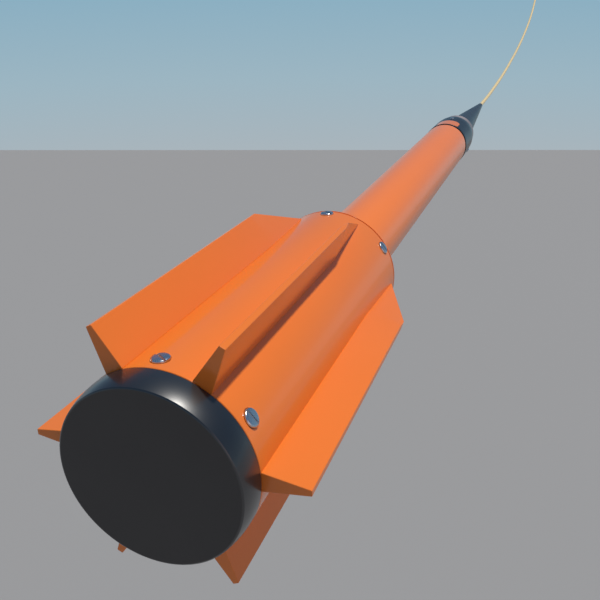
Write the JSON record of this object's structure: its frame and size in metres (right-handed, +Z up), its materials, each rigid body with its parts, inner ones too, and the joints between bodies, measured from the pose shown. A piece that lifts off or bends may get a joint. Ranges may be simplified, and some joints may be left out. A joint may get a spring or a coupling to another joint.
{
  "type": "towed sensor fish",
  "caption": "Slim towed sensor tube with a finned tail sleeve, nose cap, tapered bend restrictor and tow cable with a hinged deck bail.",
  "frame": {"origin": "the tow point, on the centre line in the mouth of the bend restrictor where the cable leaves the body", "axes": "+X forward along the body, the way it is towed; +Z up, between the two upper fins; +Y to port"},
  "size_m": [3.8722, 0.184, 0.4323],
  "materials": {
    "orange_shell": "satin moulded and painted orange",
    "black_cap": "glossy black moulding",
    "bend_boot": "satin blue-black polyurethane",
    "steel": "turned stainless steel",
    "aluminium": "machined, clear anodised",
    "brass": "turned brass",
    "winding": "enamelled copper wire in layers",
    "cable_jacket": "extruded pale yellow polyurethane",
    "seal_rubber": "black nitrile",
    "circuit_board": "green solder mask",
    "foam": "closed-cell foam",
    "flask": "moulded sensor flask"
  },
  "bodies": {
    "fish": {"fin_sleeve": "orange_shell", "fin_1": "orange_shell", "fin_2": "orange_shell", "fin_3": "orange_shell", "fin_4": "orange_shell", "fin_5": "orange_shell", "fin_6": "orange_shell", "rear_screw_1": "steel", "rear_screw_2": "steel", "rear_screw_3": "steel", "rear_screw_4": "steel", "front_screw_1": "steel", "front_screw_2": "steel", "front_screw_3": "steel", "front_screw_4": "steel", "rear_bulkhead": "black_cap", "front_bulkhead": "orange_shell", "body_tube": "orange_shell", "trim_rod": "steel", "trim_disc": "aluminium", "trim_weight": "brass", "tray_rear_disc": "aluminium", "tray_front_disc": "aluminium", "electronics_tray": "aluminium", "main_board": "circuit_board", "counter_module": "steel", "power_module": "black_cap", "left_rod": "aluminium", "right_rod": "aluminium", "sensor_flask": "flask", "sensor_winding": "winding", "rear_cradle": "foam", "front_cradle": "foam", "nose_bulkhead": "aluminium", "nose_oring": "seal_rubber", "nose_cap": "black_cap", "nose_key": "orange_shell", "nose_screw_1": "steel", "nose_screw_2": "steel", "nose_screw_3": "steel", "nose_ring": "aluminium", "gland_body": "steel", "gland_nut": "steel", "bend_restrictor": "bend_boot", "cable_tail": "cable_jacket", "strength_clamp": "brass", "tow_cable": "cable_jacket", "deck_boot": "seal_rubber", "deck_socket": "steel", "left_bail_pivot": "steel", "right_bail_pivot": "steel", "deck_connector": "brass"},
    "tail_cap": {"tail_cap": "black_cap", "tail_oring": "seal_rubber"},
    "deck_bail": {"deck_bail": "steel"},
    "coupling_ring": {"coupling_ring": "aluminium"}
  },
  "joints": [
    {"name": "tail_cap_pull", "type": "slide", "parent": "fish", "child": "tail_cap", "axis": [-1, 0, 0], "range_m": [0, 0.04]},
    {"name": "bail_swing", "type": "hinge", "parent": "fish", "child": "deck_bail", "pos_m": [2.22465, 0, 0.31254], "axis": [0, 1, 0], "range_deg": [-100, 100]},
    {"name": "coupling_turn", "type": "hinge", "parent": "fish", "child": "coupling_ring", "pos_m": [2.21, 0, 0.3061], "axis": [0.9153, 0, 0.4027], "continuous": true}
  ]
}
